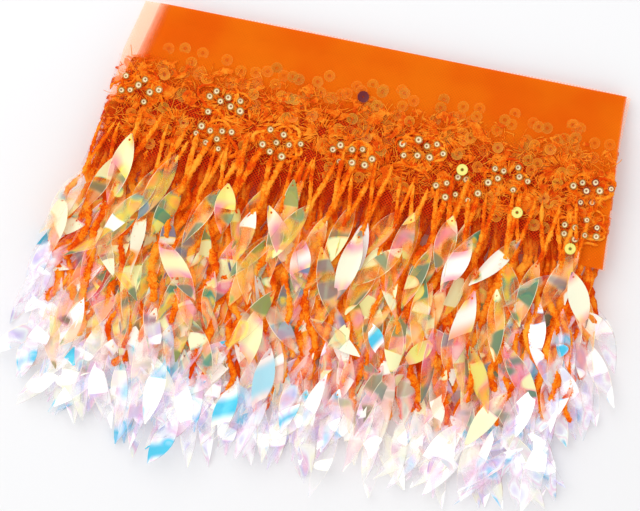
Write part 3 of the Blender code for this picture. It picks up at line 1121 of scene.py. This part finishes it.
def makeLeaves(layer, lines, chance):
    pile = Pile()
    sizes = tasselSizes
    gap = sizes["leafGap"][layer]
    leftEnd, rightEnd = sizes["paleEnds"]
    pinkShare, pinkDepth = sizes["pinkFrom"]
    leftShare, more = sizes["moreAtLeft"]
    closeShare, closer = sizes["closerAtLeft"]
    for share, line, depth, tip in lines:
        if chance.uniform() > sizes["leafShare"][layer] + more * (share < leftShare):
            continue
        atEnd = not leftEnd <= share <= rightEnd
        at = sizes["leafTop"][layer] + chance.uniform(0, gap)
        while at < tip:
            spot = min(int((at - depth[0]) / (depth[1] - depth[0])), len(line) - 1)
            hang = np.array([0.0, min(0.0, depth[-1] - at), 0.0])
            ahead = line[min(spot + 4, len(line) - 1)] - line[max(spot - 4, 0)]
            yaw = math.atan2(ahead[0], -ahead[1]) + chance.normal(0, sizes["leafYaw"] * 0.6)
            length = sizes["leafLength"] * chance.uniform(0.78, 1.08)
            width = sizes["leafWidth"] * chance.uniform(0.85, 1.08)
            body = bentLeaf(length, width, chance.uniform(-0.0016, 0.0016),
                            chance.uniform(-0.001, 0.0022), chance.normal(0, 0.45))
            roll = chance.normal(0, sizes["leafRoll"] * 0.6)
            body = turned(body, yaw, chance.normal(0.02, sizes["leafPitch"] * 0.6), roll)
            body = body + line[spot] + hang + (0, 0.002, chance.uniform(*sizes["leafLift"]))
            body[:, 2] = np.maximum(body[:, 2], 0.0003 + 0.0002 * layer)
            place = (at - sizes["coolFrom"]) / sizes["coolOver"] + 0.35 * atEnd
            hue, lit, tone = chance.uniform(size=3)
            if atEnd:  # pale and lilac at both ends
                hue = 0.48 + 0.2 * hue
            elif share > pinkShare and at > pinkDepth:  # pinker and whiter on the right
                hue, tone = (0.75 + 0.52 * hue) % 1.0, 0.90 * tone
            elif at < sizes["warmAbove"]:  # more orange and yellow by the band
                hue = 0.40 + 0.5 * hue
            seeds = (hue, lit, np.clip(place, 0, 1), tone)
            pile.add(body, *leafShape[1:], seeds)
            at += gap * chance.uniform(0.75, 1.25) * (closer if share < closeShare else 1.0)
    piece = pile.piece(f"tasselLeaves{layer + 1}", leafMaterial)
    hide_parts(f"tassel_row_{layer + 1}")
    return piece


tassels = []
for layer in range(trim["layers"]):
    chance = np.random.default_rng(60 + layer)
    yarn, lines = makeStrands(layer, chance)
    tassels += [yarn, makeLeaves(layer, lines, chance)]

# Leaves that catch the light: top and tip (mm along the strip, mm down), glare start and end
# along the leaf, its tone, and how cool the film is
litLeaves = (
    (-0.2, 67.4, -5.0, 104.0, 0.0, 0.52, 0.1, 0.1),
    (51.8, 82.3, 53.3, 107.5, 0.0, 0.5, 0.45, 0.1),
    (73.6, 89.2, 95.3, 123.5, 0.0, 0.3, 0.8, 0.15),
    (94.1, 102.4, 95.3, 128.6, 0.15, 0.6, 0.95, 0.2),
    (23.6, 116.6, 47.1, 142.5, 0.15, 0.62, 0.15, 0.2),
    (78.7, 139.6, 77.3, 173.1, 0.1, 0.78, 0.12, 0.3),
    (88.6, 158.6, 86.9, 193.1, 0.1, 0.8, 0.92, 0.45),
    (121.2, 92.3, 115.4, 129.2, 0.18, 0.85, 0.72, 0.15),
    (144.9, 78.3, 139.3, 121.3, 0.0, 0.13, 0.7, 0.1),
    (164.8, 75.9, 162.0, 105.0, 0.0, 0.2, 0.15, 0.1),
    (176.0, 85.8, 165.9, 114.4, 0.22, 0.8, 0.97, 0.15),
    (182.5, 110.5, 176.8, 153.0, 0.05, 0.55, 0.9, 0.3),
    (135.2, 136.4, 143.5, 152.6, 0.1, 0.7, 0.99, 0.9),
    (167.7, 138.5, 154.5, 153.9, 0.1, 0.85, 0.45, 0.3),
    (228.1, 91.6, 240.0, 117.8, 0.02, 0.9, 0.72, 0.1),
    (49.8, 201.1, 39.8, 227.1, 0.45, 1.0, 0.99, 0.99),
    (75.1, 179.7, 69.3, 209.4, 0.12, 0.7, 0.95, 0.8),
    (-9.5, 109.5, -26.6, 138.5, 0.12, 0.9, 0.3, 0.3),
    (-20.6, 102.6, -27.2, 125.3, 0.95, 0.96, 0.2, 0.9),
    (-29.8, 173.3, -31.4, 198.1, 0.45, 0.8, 0.99, 0.9),
    (236.5, 110.3, 257.9, 122.8, 0.1, 0.5, 0.8, 0.85),
    (105.0, 166.5, 101.9, 198.7, 0.6, 0.95, 0.99, 0.95),
)


litLift = 0.0042  # how high those within the heading's length lie over their row
litWithin = (-0.004, 0.236)


def makeLitLeaves():
    chance = np.random.default_rng(90)
    pile = Pile()
    for topX, topDepth, tipX, tipDepth, start, end, tone, cool in litLeaves:
        top = np.array([topX, topDepth]) * millimetre
        way = np.array([tipX, tipDepth]) * millimetre - top
        length = math.hypot(*way)
        width = min(tasselSizes["leafWidth"] * 1.08, 0.42 * length)
        body = bentLeaf(length, width, 0.0008, chance.uniform(0, 0.0012), chance.normal(0, 0.2))
        body = turned(body, math.atan2(way[0], way[1]), -0.02, chance.normal(0, 0.12))
        lift = litLift if litWithin[0] < top[0] < litWithin[1] else 0.0
        row = topLayer if lift else topLayer - 2
        body = body + placed(top[0], top[1], rowFloor(row, top[1]) + 0.0016 + lift)
        pile.add(body, *leafShape[1:], (start, end, cool, tone))
    piece = pile.piece("litLeaves", litLeafMaterial)
    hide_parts(f"tassel_row_{topLayer + 1}")
    return piece


tassels.append(makeLitLeaves())
print("tassels hung")

# Table, light and camera

studio = {
    "floorSize": 3.0,
    "floorColours": ((0.835, 0.835, 0.845), (0.845, 0.845, 0.855)),
    "world": 0.87,
    "keyPower": 8.0,
    "keySize": 1.2,
    "keyPlace": (-0.55, 0.45, 1.15),
    "lensLength": 180.0,
    "frameWidth": 0.320,
    "turn": 11.4,
    "centre": (-0.0170, -0.0604, 0.012),
}


def makeFloor():
    half = studio["floorSize"] / 2
    corners = [(-half, -half, 0), (half, -half, 0), (half, half, 0), (-half, half, 0)]
    material, tree, shader = newMaterial("pale table", Roughness=0.8)
    grain = addNode(tree, "ShaderNodeTexNoise", [("Scale", 40.0), ("Detail", 3.0)]).outputs["Fac"]
    plug(tree, shader, Base_Color=addMixColour(tree, grain, *studio["floorColours"]))
    mesh = bpy.data.meshes.new("table")
    mesh.from_pydata(corners, [], [(0, 1, 2, 3)])
    mesh.materials.append(material)
    floor = addObject("table", mesh)


def makeLight():
    world = bpy.data.worlds.new("studio")
    bpy.context.scene.world = world
    world.use_nodes = True
    back = world.node_tree.nodes["Background"]
    back.inputs["Color"].default_value = (1.0, 1.0, 1.0, 1.0)
    back.inputs["Strength"].default_value = studio["world"]
    light = bpy.data.lights.new("softbox", "AREA")
    light.energy = studio["keyPower"]
    light.size = studio["keySize"]
    lamp = addObject("softbox", light)
    lamp.location = studio["keyPlace"]
    aim = np.array(studio["centre"]) - np.array(studio["keyPlace"])
    tilt = math.acos(-aim[2] / np.linalg.norm(aim))
    lamp.rotation_euler = (tilt, 0, math.atan2(aim[1], aim[0]) - math.pi / 2)


def makeCamera():
    data = bpy.data.cameras.new("camera")
    data.sensor_width = 36.0
    data.lens = studio["lensLength"]
    camera = addObject("camera", data)
    x, y, z = studio["centre"]
    camera.location = (x, y, z + data.lens * studio["frameWidth"] / data.sensor_width)
    camera.rotation_euler = (0, 0, math.radians(studio["turn"]))
    bpy.context.scene.camera = camera


makeFloor()
makeLight()
makeCamera()
bpy.context.scene.view_settings.view_transform = "Standard"
bpy.context.scene.cycles.transparent_max_bounces = 40
bpy.context.scene.cycles.max_bounces = 8
bpy.context.scene.cycles.diffuse_bounces = 5
print("studio set")
